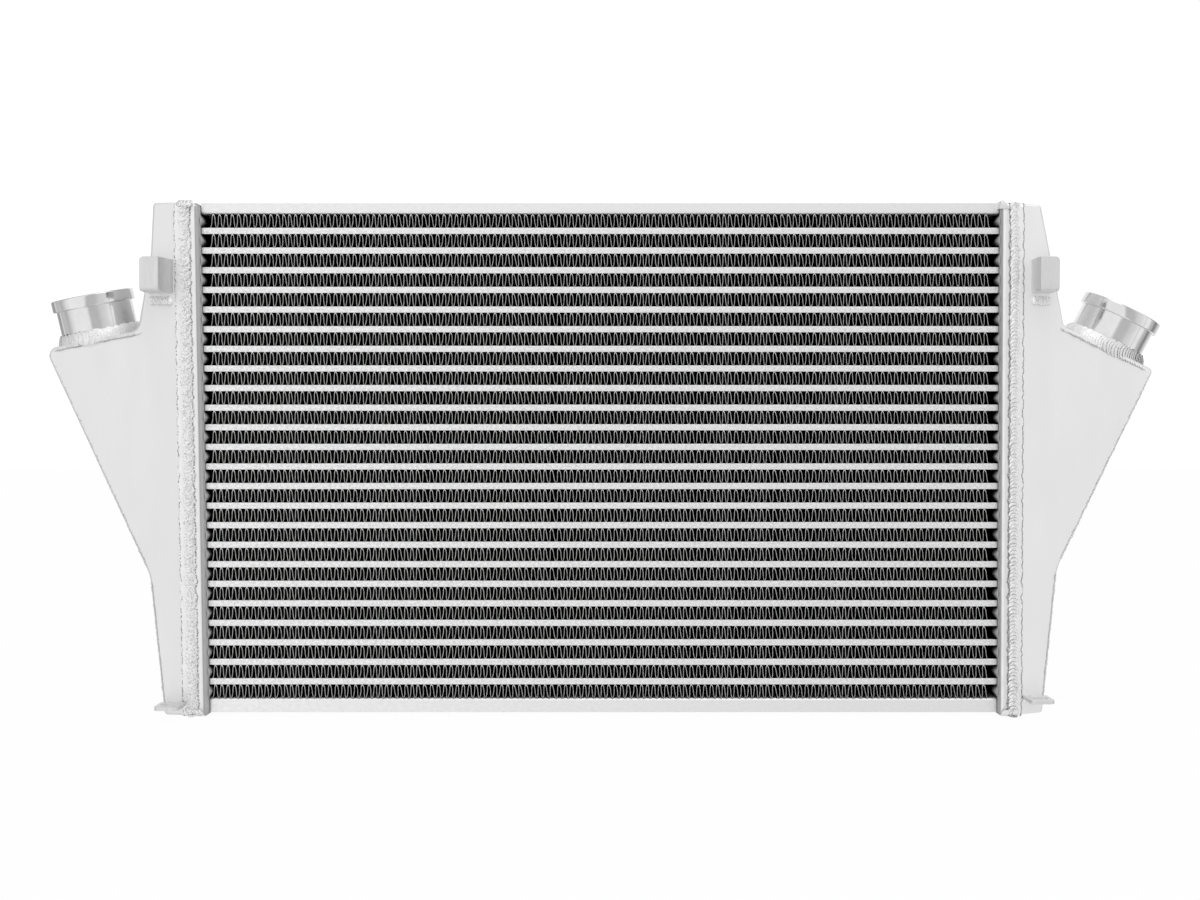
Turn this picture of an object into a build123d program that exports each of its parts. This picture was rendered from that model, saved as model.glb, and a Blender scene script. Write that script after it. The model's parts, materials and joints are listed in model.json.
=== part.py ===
"""Tube-and-fin charge-air cooler with two welded end tanks and two hose necks.

Frame: +X to the right along the core, +Y to the back, +Z up, in millimetres.  The origin is
on the surface that the cooler stands on, in the middle of its footprint.  Air passes along Y
through the fins; charge air runs along X through the flat tubes, from tank to tank.
"""
import os
from math import cos, radians, sin, tan

from build123d import *

# ---- core -----------------------------------------------------------------------------
TUBE_COUNT = 24
TUBE_HEIGHT = 4.8            # flat tube, over its two faces
TUBE_WALL = 0.6
TUBE_NOSE = 1.5              # bevel of the front and back edges
TUBE_WEB_COUNT = 1           # webs inside each tube, which part it into channels
TUBE_WEB_THICKNESS = 0.6
TUBE_STAND_THROUGH = 2.5     # what each tube end shows inside the tank
CORE_WIDTH = 603.0           # between the faces of the two headers
CORE_DEPTH = 52.0            # tubes and fins, front to back
FIN_HEIGHT = 10.05           # gap between two tubes, filled by one folded ribbon
FIN_LEGS = 12                # legs in one ribbon
FIN_THICKNESS = 0.5
FIN_END_GAP = 4.5            # from the last fold to the header
FIN_ROWS_PER_PACK = 5

# ---- side plates ----------------------------------------------------------------------
TOP_PLATE_HEIGHT = 8.45      # up to the top of the headers
BOTTOM_PLATE_HEIGHT = 11.0
SIDE_PLATE_THICKNESS = 1.6
SIDE_PLATE_BEND = 2.6        # outer radius

# ---- headers --------------------------------------------------------------------------
HEADER_DEPTH = 64.0
HEADER_WALL = 2.5
HEADER_RIM = 11.5            # width of the pan's rim, from the core face to the tank seam
HEADER_BEND = 4.5            # outer radius round the pressed face
HEADER_CORNER = 4.0          # bevel at the pan's four corners
RIB_RISE = 2.6               # domed rib between two tubes
RIB_MARGIN = 0.4             # flat land between a rib and the slot beside it
RIDGE_CROWN = 0.4            # flat crown of a ridge, as a share of its width
BRAZE_CLEARANCE = 0.05       # between a tube and its slot
CORE_BASE = 13.7             # underside of the lowest fin row

# ---- end tanks ------------------------------------------------------------------------
TANK_DEPTH = 64.0
TANK_WALL = 3.0
TANK_EDGE_BEVEL = 1.6        # along the front and back outlines
TANK_FOOT = 1.2              # underside of a tank at the seam

# ---- hose necks -----------------------------------------------------------------------
NECK_OUTER_RADIUS = 28.5
NECK_WALL = 2.5
NECK_HEIGHT = 37.0           # along its axis, from the ledge to the mouth
COLLAR_RADIUS = 30.9
COLLAR_LENGTH = 9.0
COLLAR_BEVEL = 0.8
NECK_FORWARD_TILT = 6.0      # degrees towards the front

# ---- welds ----------------------------------------------------------------------------
SEAM_WELD_WIDTH = 9.6
SEAM_WELD_RISE = 1.4
SEAM_WELD_BEVEL = 3.2        # run of the sloping shoulder on each side of the bead
SEAM_WELD_LIP = 0.14         # thickness of the bead at its two sides
NECK_WELD_WIDTH = 3.9
NECK_WELD_HEIGHT = 9.0
NECK_WELD_CROWN = 1.6        # thickness of its upper edge
NECK_WELD_FLATS = 36
BRACKET_WELD_HEIGHT = 6.8
BRACKET_WELD_RISE = 2.4

# ---- brackets -------------------------------------------------------------------------
BRACKET_REACH = 23.0         # in front of the tank's face
BRACKET_THICKNESS = 2.8
BRACKET_BEND = 4.0           # outer radius
BRACKET_CORNER = 3.2
UPPER_BRACKET_DROP = 68.6     # from the top of the headers to its underside
UPPER_BRACKET_HEIGHT = 25.5
UPPER_BRACKET_WIDTH = 14.0
LOWER_TAB_WIDTH = 18.5
LOWER_TAB_CORNER = 4.5
SLOT_LENGTH = 13.5
SLOT_WIDTH = 7.0
SLOT_FROM_TANK = 11.6        # from the tank's face to the slot's middle
LOWER_TAB_WELD = 2.2

# ---- what follows from the sizes above -------------------------------------------------
ROW_PITCH = TUBE_HEIGHT + FIN_HEIGHT
ROW_COUNT = TUBE_COUNT + 1
CORE_TOP = CORE_BASE + ROW_COUNT * FIN_HEIGHT + TUBE_COUNT * TUBE_HEIGHT
HEADER_HEIGHT = CORE_TOP + TOP_PLATE_HEIGHT
HEADER_FACE = CORE_WIDTH / 2
SEAM_X = HEADER_FACE + HEADER_RIM
CORE_Y = (BRACKET_REACH - SEAM_WELD_RISE) / 2     # puts the footprint's middle at y = 0
TANK_FRONT = CORE_Y - TANK_DEPTH / 2
NECK_BORE_RADIUS = NECK_OUTER_RADIUS - NECK_WALL
UPPER_BRACKET_BASE = HEADER_HEIGHT - UPPER_BRACKET_DROP


class Tank:
    """Sizes of one end tank, seen from the front.

    upper and lower list the corners of its outline as (out, height, corner radius), from the
    top of the seam round to its foot.  Out is counted outwards from the seam.  Height is
    counted down from the top of the headers in upper, and up from the floor in lower.  The
    last two corners of upper are the ends of the ledge that carries the neck, and neck_seat
    is the way along the ledge to the neck's axis.
    """

    def __init__(self, upper, lower, neck_seat, bracket_out, bracket_leg, tab_out, tab_top):
        self.outline = [(SEAM_X + out, HEADER_HEIGHT - down, radius) for out, down, radius in upper]
        self.inner, self.outer = (Vector(x, 0, z) for x, z, _ in self.outline[-2:])
        self.outline += [(SEAM_X + out, up, radius) for out, up, radius in lower]
        self.neck_seat = neck_seat
        self.bracket_x = SEAM_X + bracket_out
        self.bracket_leg = bracket_leg
        self.tab_x = SEAM_X + tab_out
        self.tab_top = tab_top


LEFT = Tank(
    upper=[(23.2, 0.4, 3.0), (25.2, 38.6, 60.0), (35.3, 96.6, 9.0), (105.3, 110.3, 7.0)],
    lower=[(27.0, 107.2, 40.0), (16.4, 1.8, 3.0)],
    neck_seat=36.8, bracket_out=13.0, bracket_leg=4.6, tab_out=18.5, tab_top=11.7)
RIGHT = Tank(
    upper=[(18.7, 2.0, 3.6), (36.7, 93.0, 7.0), (104.4, 126.0, 4.0)],
    lower=[(32.3, 113.0, 40.0), (21.6, 3.4, 3.0)],
    neck_seat=41.3, bracket_out=12.2, bracket_leg=0.6, tab_out=25.0, tab_top=16.7)


def row_base(row):
    """Height of the underside of a fin row, counted from 0 at the bottom."""
    return CORE_BASE + row * ROW_PITCH


# ---- core -----------------------------------------------------------------------------
def bevelled(width, height, corner):
    """Rectangle with its four corners cut off."""
    rectangle = Rectangle(width, height)
    return chamfer(rectangle.vertices(), corner)


def flat_tube():
    """Flat tube along X, centred on the origin, open at both ends, with webs inside."""
    channels = TUBE_WEB_COUNT + 1
    hollow_depth = CORE_DEPTH - 2 * (TUBE_NOSE + TUBE_WALL)
    channel_depth = (hollow_depth - TUBE_WEB_COUNT * TUBE_WEB_THICKNESS) / channels
    section = bevelled(CORE_DEPTH, TUBE_HEIGHT, TUBE_NOSE)
    for channel in range(channels):
        place = (channel - TUBE_WEB_COUNT / 2) * (channel_depth + TUBE_WEB_THICKNESS)
        section -= Pos(place, 0) * Rectangle(channel_depth, TUBE_HEIGHT - 2 * TUBE_WALL)
    half_length = HEADER_FACE + HEADER_WALL + TUBE_STAND_THROUGH
    return extrude(Plane.YZ * section, amount=half_length, both=True)


def fin_ribbon():
    """One folded ribbon: a zigzag seen from the front, its folds touching both tubes."""
    run = CORE_WIDTH - 2 * FIN_END_GAP
    pitch = run / FIN_LEGS
    half = FIN_THICKNESS * (pitch ** 2 + FIN_HEIGHT ** 2) ** 0.5 / pitch / 2
    line = [(-run / 2 + leg * pitch, FIN_HEIGHT - half if leg % 2 else half)
            for leg in range(FIN_LEGS + 1)]
    upper = [(x, z + half) for x, z in line]
    lower = [(x, z - half) for x, z in reversed(line)]
    section = make_face(Polyline(*upper, *lower, close=True))
    return extrude(Plane.XZ * section, amount=CORE_DEPTH / 2, both=True)


def side_plate(height):
    """Channel along X: web down on z = 0, its two flanges turned up and away from the fins."""
    outer = Pos(0, height / 2) * Rectangle(CORE_DEPTH, height)
    inside = height - SIDE_PLATE_THICKNESS
    inner = Pos(0, SIDE_PLATE_THICKNESS + inside / 2) * Rectangle(
        CORE_DEPTH - 2 * SIDE_PLATE_THICKNESS, inside)
    outer = fillet(outer.vertices().group_by(Axis.Y)[0], SIDE_PLATE_BEND)
    return extrude(Plane.YZ * (outer - inner), amount=HEADER_FACE, both=True)


# ---- headers --------------------------------------------------------------------------
def pan(width, height, corner, start, stop, bend=0.0):
    """Block with bevelled corners, the edge of its core face rounded off by bend."""
    outline = Pos(CORE_Y, HEADER_HEIGHT / 2) * bevelled(width, height, corner)
    block = extrude(Plane.YZ.offset(start) * outline, amount=stop - start)
    return fillet(block.faces().sort_by(Axis.X)[0].edges(), bend) if bend else block


def ridge_section(width, rise, start):
    """Ridge in three flats, which stands out from the line x = start towards -x."""
    crown = RIDGE_CROWN * width / 2
    return make_face(Polyline(
        (start, -width / 2), (start - rise, -crown), (start - rise, crown),
        (start, width / 2), close=True))


def header():
    """Right-hand header: a pressed pan with domed ribs and a slot for every tube."""
    body = pan(HEADER_DEPTH, HEADER_HEIGHT, HEADER_CORNER, HEADER_FACE, SEAM_X, HEADER_BEND)
    body -= pan(HEADER_DEPTH - 2 * HEADER_WALL, HEADER_HEIGHT - 2 * HEADER_WALL,
                HEADER_CORNER - HEADER_WALL / 2, HEADER_FACE + HEADER_WALL, SEAM_X + HEADER_WALL)
    rib = extrude(Plane.XZ * ridge_section(FIN_HEIGHT - 2 * RIB_MARGIN, RIB_RISE, HEADER_FACE),
                  amount=CORE_DEPTH / 2, both=True)
    for row in range(ROW_COUNT):
        body += Pos(0, CORE_Y, row_base(row) + FIN_HEIGHT / 2) * rib
    slot = bevelled(CORE_DEPTH + 2 * BRAZE_CLEARANCE, TUBE_HEIGHT + 2 * BRAZE_CLEARANCE, TUBE_NOSE)
    cutter = extrude(Plane.YZ.offset(HEADER_FACE - RIB_RISE) * slot,
                     amount=RIB_RISE + 2 * HEADER_WALL)
    for tube in range(TUBE_COUNT):
        body -= Pos(0, CORE_Y, row_base(tube) + FIN_HEIGHT + TUBE_HEIGHT / 2) * cutter
    return body


# ---- end tanks ------------------------------------------------------------------------
def tank_face(tank, inset=0.0):
    """Front outline of a tank, rounded at its corners, set in by the given wall."""
    points = [(SEAM_X, HEADER_HEIGHT)] + [(x, z) for x, z, _ in tank.outline]
    points += [(SEAM_X, TANK_FOOT)]
    face = make_face(Polyline(*points, close=True))
    for x, z, radius in tank.outline:
        corner = face.vertices().sort_by_distance(Vector(x, z))[0]
        face = fillet([corner], radius)
    if not inset:
        return face
    mouth = Pos(SEAM_X, (HEADER_HEIGHT + TANK_FOOT) / 2) * Rectangle(
        4 * inset, HEADER_HEIGHT - TANK_FOOT - 2 * inset)
    return offset(face, amount=-inset, kind=Kind.INTERSECTION) + mouth


def tank_block(tank):
    """Outer form of a tank, filled."""
    block = extrude(Plane.XZ.offset(-CORE_Y) * tank_face(tank), amount=TANK_DEPTH / 2, both=True)
    front_and_back = block.faces().sort_by(Axis.Y)[0], block.faces().sort_by(Axis.Y)[-1]
    rims = [edge for face in front_and_back for edge in face.edges().sort_by(Axis.X)[1:]]
    return chamfer(rims, TANK_EDGE_BEVEL)


def tank_shell(tank):
    cavity = extrude(Plane.XZ.offset(-CORE_Y) * tank_face(tank, TANK_WALL),
                     amount=TANK_DEPTH / 2 - TANK_WALL, both=True)
    port = neck_place(tank) * Cylinder(NECK_BORE_RADIUS, 4 * TANK_WALL)
    return tank_block(tank) - cavity - port


# ---- hose necks -----------------------------------------------------------------------
def neck_place(tank):
    """Location on the ledge, with z along the neck's axis and out of its mouth."""
    along = (tank.outer - tank.inner).normalized()
    normal = Vector(-along.Z, 0, along.X)
    seat = tank.inner + along * tank.neck_seat + Vector(0, CORE_Y, 0)
    tilt = radians(NECK_FORWARD_TILT)
    axis = normal * cos(tilt) + Vector(0, -1, 0) * sin(tilt)
    return Plane(origin=seat, x_dir=along, z_dir=axis).location


def foot_depth(radius):
    """How far a round foot goes below the middle of its seat to close on the ledge."""
    return radius * tan(radians(NECK_FORWARD_TILT)) + TANK_EDGE_BEVEL


def neck(tank):
    """Turned spigot: a plain tube with a square-shouldered collar round its mouth."""
    foot = -foot_depth(NECK_OUTER_RADIUS)
    shoulder = NECK_HEIGHT - COLLAR_LENGTH
    wall = make_face(Polyline(
        (NECK_BORE_RADIUS, foot), (NECK_OUTER_RADIUS, foot), (NECK_OUTER_RADIUS, shoulder),
        (COLLAR_RADIUS, shoulder), (COLLAR_RADIUS, NECK_HEIGHT),
        (NECK_BORE_RADIUS, NECK_HEIGHT), close=True))
    lip = wall.vertices().sort_by_distance(Vector(COLLAR_RADIUS, NECK_HEIGHT))[0]
    wall = chamfer([lip], COLLAR_BEVEL)
    body = revolve(Plane.XZ * wall, Axis.Z)
    return neck_place(tank) * body - tank_block(tank)


def neck_weld(tank):
    """Fillet weld round the neck's foot, in flats, which laps over the tank's bevelled edges."""
    reach = NECK_OUTER_RADIUS + NECK_WELD_WIDTH
    foot = Pos(0, 0, -foot_depth(reach)) * RegularPolygon(reach, NECK_WELD_FLATS)
    crown = Pos(0, 0, NECK_WELD_HEIGHT) * RegularPolygon(
        NECK_OUTER_RADIUS + NECK_WELD_CROWN, NECK_WELD_FLATS)
    ring = loft([foot, crown], ruled=True) - Cylinder(NECK_OUTER_RADIUS, 4 * NECK_WELD_HEIGHT)
    return neck_place(tank) * ring - tank_block(tank)


# ---- seam welds -----------------------------------------------------------------------
def seam_weld(tank):
    """Bead round the joint of pan and tank; its underside is level with the pan's foot."""
    outline = Pos(CORE_Y, HEADER_HEIGHT / 2) * bevelled(
        HEADER_DEPTH + 2 * SEAM_WELD_RISE, HEADER_HEIGHT + 2 * SEAM_WELD_RISE, HEADER_CORNER)
    start = SEAM_X - SEAM_WELD_WIDTH / 2
    band = extrude(Plane.YZ.offset(start) * outline, amount=SEAM_WELD_WIDTH)
    ends = band.faces().sort_by(Axis.X)[0], band.faces().sort_by(Axis.X)[-1]
    for end in ends:
        band = chamfer(end.edges(), SEAM_WELD_RISE - SEAM_WELD_LIP, SEAM_WELD_BEVEL, reference=end)
    above = Pos(SEAM_X, CORE_Y, HEADER_HEIGHT) * Box(
        4 * SEAM_WELD_WIDTH, 2 * HEADER_DEPTH, 2 * HEADER_HEIGHT)
    pan_block = pan(HEADER_DEPTH, HEADER_HEIGHT, HEADER_CORNER, HEADER_FACE, SEAM_X)
    return (band & above) - pan_block - tank_block(tank)


# ---- brackets -------------------------------------------------------------------------
def upper_bracket(tank):
    """Folded corner bracket: a leg and a shelf run back to the tank, a tab faces forward."""
    front = TANK_FRONT - BRACKET_REACH
    tip = tank.bracket_x + UPPER_BRACKET_WIDTH
    foot = tank.bracket_x - tank.bracket_leg
    plan = make_face(Polyline((foot, TANK_FRONT), (tank.bracket_x, front), (tip, front),
                              (tip, TANK_FRONT), close=True))
    hollow = make_face(Polyline(
        (foot + BRACKET_THICKNESS, TANK_FRONT + BRACKET_THICKNESS),
        (tank.bracket_x + BRACKET_THICKNESS, front + BRACKET_THICKNESS),
        (tip + BRACKET_THICKNESS, front + BRACKET_THICKNESS),
        (tip + BRACKET_THICKNESS, TANK_FRONT + BRACKET_THICKNESS), close=True))
    base = Plane.XY.offset(UPPER_BRACKET_BASE)
    body = extrude(base * plan, amount=UPPER_BRACKET_HEIGHT)
    underside = body.faces().sort_by(Axis.Z)[0].edges().group_by(Axis.Y)[0]
    body = fillet(underside, BRACKET_BEND)
    body -= extrude(base.offset(BRACKET_THICKNESS) * hollow, amount=UPPER_BRACKET_HEIGHT)
    corner = body.edges().filter_by(Axis.Y).sort_by_distance(
        Vector(tip, front, UPPER_BRACKET_BASE + UPPER_BRACKET_HEIGHT))[0]
    return fillet([corner], BRACKET_CORNER)


def upper_bracket_weld(tank):
    """Bead on the tank's face, under the bracket's shelf."""
    bead = ridge_section(BRACKET_WELD_HEIGHT, BRACKET_WELD_RISE, 0.0)
    foot = tank.bracket_x - tank.bracket_leg
    length = tank.bracket_x + UPPER_BRACKET_WIDTH - foot
    body = extrude(Plane.YZ.offset(foot) * bead, amount=length)
    return Pos(0, TANK_FRONT, UPPER_BRACKET_BASE - BRACKET_WELD_HEIGHT / 2) * body


def lower_tab(tank):
    """Flat tab that stands forward from the tank's face, with one slotted hole."""
    middle = tank.tab_x - LOWER_TAB_WIDTH / 2
    plate = Pos(middle, TANK_FRONT - BRACKET_REACH / 2) * Rectangle(LOWER_TAB_WIDTH, BRACKET_REACH)
    plate = fillet(plate.vertices().group_by(Axis.Y)[0], LOWER_TAB_CORNER)
    plate -= Pos(middle, TANK_FRONT - SLOT_FROM_TANK) * SlotOverall(SLOT_LENGTH, SLOT_WIDTH)
    body = extrude(Plane.XY.offset(tank.tab_top - BRACKET_THICKNESS) * plate,
                   amount=BRACKET_THICKNESS)
    return body - seam_weld(tank)


def lower_tab_weld(tank):
    """Small fillet in the corner between the tab's underside and the tank's face."""
    base = tank.tab_top - BRACKET_THICKNESS
    section = make_face(Polyline(
        (TANK_FRONT, base), (TANK_FRONT - LOWER_TAB_WELD, base),
        (TANK_FRONT, base - LOWER_TAB_WELD), close=True))
    start = max(tank.tab_x - LOWER_TAB_WIDTH, SEAM_X + SEAM_WELD_WIDTH / 2)
    return extrude(Plane.YZ.offset(start) * section, amount=tank.tab_x - LOWER_TAB_CORNER - start)


# ---- all the pieces -------------------------------------------------------------------
def mirrored(shape):
    return mirror(shape, Plane.YZ)


def core_parts():
    parts = {}
    tube = flat_tube()
    for index in range(TUBE_COUNT):
        height = row_base(index) + FIN_HEIGHT + TUBE_HEIGHT / 2
        parts[f"tube_{index + 1:02d}"] = Pos(0, CORE_Y, height) * tube
    ribbon = fin_ribbon()
    for pack in range(ROW_COUNT // FIN_ROWS_PER_PACK):
        first = pack * FIN_ROWS_PER_PACK
        rows = [Pos(0, CORE_Y, row_base(row)) * ribbon
                for row in range(first, first + FIN_ROWS_PER_PACK)]
        parts[f"air_fins_{pack + 1}"] = Compound(children=rows)
    parts["side_plate_top"] = Pos(0, CORE_Y, CORE_TOP) * side_plate(TOP_PLATE_HEIGHT)
    parts["side_plate_bottom"] = Pos(0, CORE_Y, CORE_BASE) * mirror(
        side_plate(BOTTOM_PLATE_HEIGHT), Plane.XY)
    return parts


def end_parts(tank):
    """Everything at one end, built as if on the right."""
    return {
        "header": header(),
        "tank": tank_shell(tank),
        "neck": neck(tank),
        "neck_weld": neck_weld(tank),
        "seam_weld": seam_weld(tank),
        "upper_bracket": upper_bracket(tank),
        "upper_bracket_weld": upper_bracket_weld(tank),
        "lower_tab": lower_tab(tank),
        "lower_tab_weld": lower_tab_weld(tank),
    }


def all_parts():
    parts = core_parts()
    for name, shape in end_parts(RIGHT).items():
        parts[f"{name}_right"] = shape
    for name, shape in end_parts(LEFT).items():
        parts[f"{name}_left"] = mirrored(shape)
    return parts


os.makedirs("parts", exist_ok=True)
for node, shape in all_parts().items():
    export_step(shape, f"parts/{node}.step")
    print(node, len(shape.solids()), round(shape.volume / 1000, 2), "cm3")
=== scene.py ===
# %% [markdown]
# # Dressing a welded intercooler
# An intercooler is a stack of flat tubes with folded fins between them, closed at each end by
# a pressed header and a hollow tank that is welded on. The exact parts come from the packed
# model and stay where they are. This lesson gives each of them its metal, and replaces the
# ones whose look is in fine folds, rounded sheet edges and weld ripples.
#
# The whole part is bare aluminium, so the work is in telling one kind of surface from the
# next: rolled tube, folded fin, pressed sheet, turned neck and the scaly skin of a weld.

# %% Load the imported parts
import json
import random
from math import cos, pi, radians, sin

import bmesh
import bpy
from mathutils import Matrix, Vector


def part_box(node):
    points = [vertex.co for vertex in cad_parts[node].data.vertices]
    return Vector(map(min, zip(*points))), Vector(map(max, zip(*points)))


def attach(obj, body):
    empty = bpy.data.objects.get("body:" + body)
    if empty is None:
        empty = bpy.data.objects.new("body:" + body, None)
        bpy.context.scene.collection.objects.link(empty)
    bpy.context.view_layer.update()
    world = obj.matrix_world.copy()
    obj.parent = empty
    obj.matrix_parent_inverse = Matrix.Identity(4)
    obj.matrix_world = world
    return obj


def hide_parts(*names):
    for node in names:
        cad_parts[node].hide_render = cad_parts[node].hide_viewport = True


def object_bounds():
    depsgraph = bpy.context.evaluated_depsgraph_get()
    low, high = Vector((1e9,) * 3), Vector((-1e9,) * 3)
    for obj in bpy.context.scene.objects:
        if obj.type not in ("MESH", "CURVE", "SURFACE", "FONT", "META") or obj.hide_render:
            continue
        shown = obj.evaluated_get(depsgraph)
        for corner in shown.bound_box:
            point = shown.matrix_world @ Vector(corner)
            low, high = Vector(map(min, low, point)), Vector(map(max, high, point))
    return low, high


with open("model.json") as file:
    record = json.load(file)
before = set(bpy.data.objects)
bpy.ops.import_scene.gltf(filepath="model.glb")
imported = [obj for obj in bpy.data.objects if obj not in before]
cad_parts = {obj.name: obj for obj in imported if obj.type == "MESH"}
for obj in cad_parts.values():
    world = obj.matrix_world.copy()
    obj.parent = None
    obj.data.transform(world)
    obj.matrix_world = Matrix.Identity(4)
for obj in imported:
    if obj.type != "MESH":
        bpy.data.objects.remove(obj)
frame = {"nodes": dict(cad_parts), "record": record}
CAD_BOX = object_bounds()
MOUNTS = {mount["name"]: mount for mount in frame["record"]["mounts"]}
print("parts loaded:", len(frame["nodes"]))

# %% [markdown]
# ## Sizes that several pieces share
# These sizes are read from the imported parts, so a new piece lands on its seat; only the rise of
# a header's ribs is typed. Lengths are in metres, and MM turns the millimetres of a workshop
# drawing into metres. The cooler's ends are near twins, so a side is a sign: -1 left, +1 right.

# %% Read the shared sizes
MM = 0.001
SIDES = {"left": -1, "right": 1}
tube_low, tube_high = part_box("tube_01")
pan_low, pan_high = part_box("header_right")
fins_low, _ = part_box("air_fins_1")
FRONT, BACK = pan_low.y, pan_high.y
MIDDLE_Y = (FRONT + BACK) / 2
CORE_FRONT, CORE_BACK = tube_low.y, tube_high.y
PAN_TOP = pan_high.z
RIB_RISE = 2.6 * MM
PAN_FACE = pan_low.x + RIB_RISE
SEAM = pan_high.x
TUBE_COUNT = sum(name.startswith("tube_") for name in frame["nodes"])
FIRST_ROW = fins_low.z
TUBE_HEIGHT = tube_high.z - tube_low.z
ROW_HEIGHT = tube_low.z - fins_low.z
PITCH = TUBE_HEIGHT + ROW_HEIGHT
print(f"row pitch {PITCH / MM:.2f} mm, header face at {PAN_FACE / MM:.1f} mm")

# %% [markdown]
# ## Working as by hand
# In the window you click what you want to change. In a script you select by a test on the
# place of each point or face. These few helpers are the clicks: they clear the old selection
# first, because an operator acts on everything that is still selected.

# %% Selecting, applying and finishing
def clear_selection():
    """Goes back to object mode with nothing selected."""
    if bpy.context.object and bpy.context.object.mode != "OBJECT":
        bpy.ops.object.mode_set(mode="OBJECT")
    bpy.ops.object.select_all(action="DESELECT")


def hold(piece):
    """Selects one piece and makes it the active one."""
    clear_selection()
    piece.select_set(True)
    bpy.context.view_layer.objects.active = piece


def edit(piece):
    hold(piece)
    bpy.ops.object.mode_set(mode="EDIT")
    bpy.ops.mesh.select_mode(type="VERT")


def pick(piece, test):
    """In edit mode: selects the points whose place passes the test, and nothing else."""
    bpy.ops.mesh.select_mode(type="VERT")
    bpy.ops.mesh.select_all(action="DESELECT")
    mesh = bmesh.from_edit_mesh(piece.data)
    for point in mesh.verts:
        point.select_set(bool(test(point.co)))
    mesh.select_flush(True)
    bmesh.update_edit_mesh(piece.data)


def pick_faces(piece, test):
    """In edit mode: selects the faces whose middle and normal pass the test."""
    bpy.ops.mesh.select_mode(type="FACE")
    bpy.ops.mesh.select_all(action="DESELECT")
    mesh = bmesh.from_edit_mesh(piece.data)
    for face in mesh.faces:
        face.select_set(bool(test(face.calc_center_median(), face.normal)))
    bmesh.update_edit_mesh(piece.data)


def apply_modifier(piece, kind, **settings):
    hold(piece)
    modifier = piece.modifiers.new(kind.title(), kind)
    for name, value in settings.items():
        setattr(modifier, name, value)
    bpy.ops.object.modifier_apply(modifier=modifier.name)


def settled():
    """The piece that was just added, with its place, turn and size applied to its mesh."""
    bpy.ops.object.transform_apply(location=True, rotation=True, scale=True)
    return bpy.context.object


def join(pieces):
    """Makes one piece of several."""
    hold(pieces[0])
    for piece in pieces[1:]:
        piece.select_set(True)
    bpy.ops.object.join()
    return pieces[0]


def copy_at(piece, matrix):
    """A copy with its own mesh, placed by a matrix."""
    twin = piece.copy()
    twin.data = piece.data.copy()
    twin.data.transform(matrix)
    bpy.context.collection.objects.link(twin)
    return twin


def finish_piece(piece, name, slot, finish, *nodes, smooth=30):
    """Names a finished piece, gives it its metal and hides the imported parts that it replaces."""
    hold(piece)
    settled()
    bpy.ops.object.shade_smooth_by_angle(angle=radians(smooth))
    piece.name = piece.data.name = name
    piece.data.materials.clear()
    piece.data.materials.append(finish)
    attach(piece, "root")
    if nodes:
        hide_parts(*nodes)
    print(name, len(piece.data.polygons), "faces")
    return piece


print("helpers ready")

# %% [markdown]
# ## Effects that several metals share
# Rolled and pressed aluminium is never one grey: it is cloudy, with faint lines along the way
# it was rolled and small pits. Each effect is a node group that puts out a colour or a mask,
# so that one change reaches every metal. The shader itself stays in each material, where its
# constant numbers can be read by other programs. First come helpers that add a node and wire
# it in one line.

# %% Add nodes and wire them
def grey(value):
    return (value, value, value, 1)


def put(tree, value, socket):
    """Feeds a socket with a number, with another socket or with a node's first output."""
    if isinstance(value, bpy.types.Node):
        value = value.outputs[0]
    if isinstance(value, bpy.types.NodeSocket):
        tree.links.new(value, socket)
    else:
        socket.default_value = value


def add(tree, kind, *feeds, **settings):
    """Adds a node. Feeds go into its first sockets in turn; a setting goes into the property
    of that name or else into the socket."""
    node = tree.nodes.new("ShaderNode" + kind)
    for name in [name for name in settings if hasattr(node, name)]:
        setattr(node, name, settings.pop(name))
    for index, value in enumerate(feeds):
        put(tree, value, node.inputs[index])
    for name, value in settings.items():
        put(tree, value, node.inputs[name.replace("_", " ")])
    return node


def mixed(tree, mask, first, second, blend="MIX"):
    """Two colours mixed by a mask."""
    mix = add(tree, "Mix", mask, data_type="RGBA", blend_type=blend)
    put(tree, first, mix.inputs[6])
    put(tree, second, mix.inputs[7])
    return mix.outputs[2]


def upright(tree, place, lean):
    """Distance to the cooler's middle, as if a header that leans stood upright."""
    split = add(tree, "SeparateXYZ", place)
    far = add(tree, "Math", split.outputs["X"], operation="ABSOLUTE")
    down = add(tree, "MapRange", split.outputs["Z"], From_Max=PAN_TOP, To_Min=1, To_Max=0)
    return add(tree, "Math", down, lean, far, operation="MULTIPLY_ADD")


print("node helpers ready")

# %% [markdown]
# ## The effects
# Clouds and pits are noises at a size in metres. A wavy line of painted shade finds its place by
# the distance from the cooler's middle and is pushed about by a noise up the seam. The last effect
# tells how deep inside the core a place is.

# %% Build the effect groups
def new_group(name, outputs, **inputs):
    """An empty shader group. The kind of an input follows from its first value."""
    group = bpy.data.node_groups.new(name, "ShaderNodeTree")
    new_socket = group.interface.new_socket
    for label, value in inputs.items():
        kind = {3: "Vector", 4: "Color"}[len(value)] if isinstance(value, tuple) else "Float"
        new_socket(label, in_out="INPUT", socket_type="NodeSocket" + kind).default_value = value
    for label, kind in outputs.items():
        new_socket(label, in_out="OUTPUT", socket_type="NodeSocket" + kind)
    return (group, group.nodes.new("NodeGroupInput").outputs,
            group.nodes.new("NodeGroupOutput").inputs)


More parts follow.
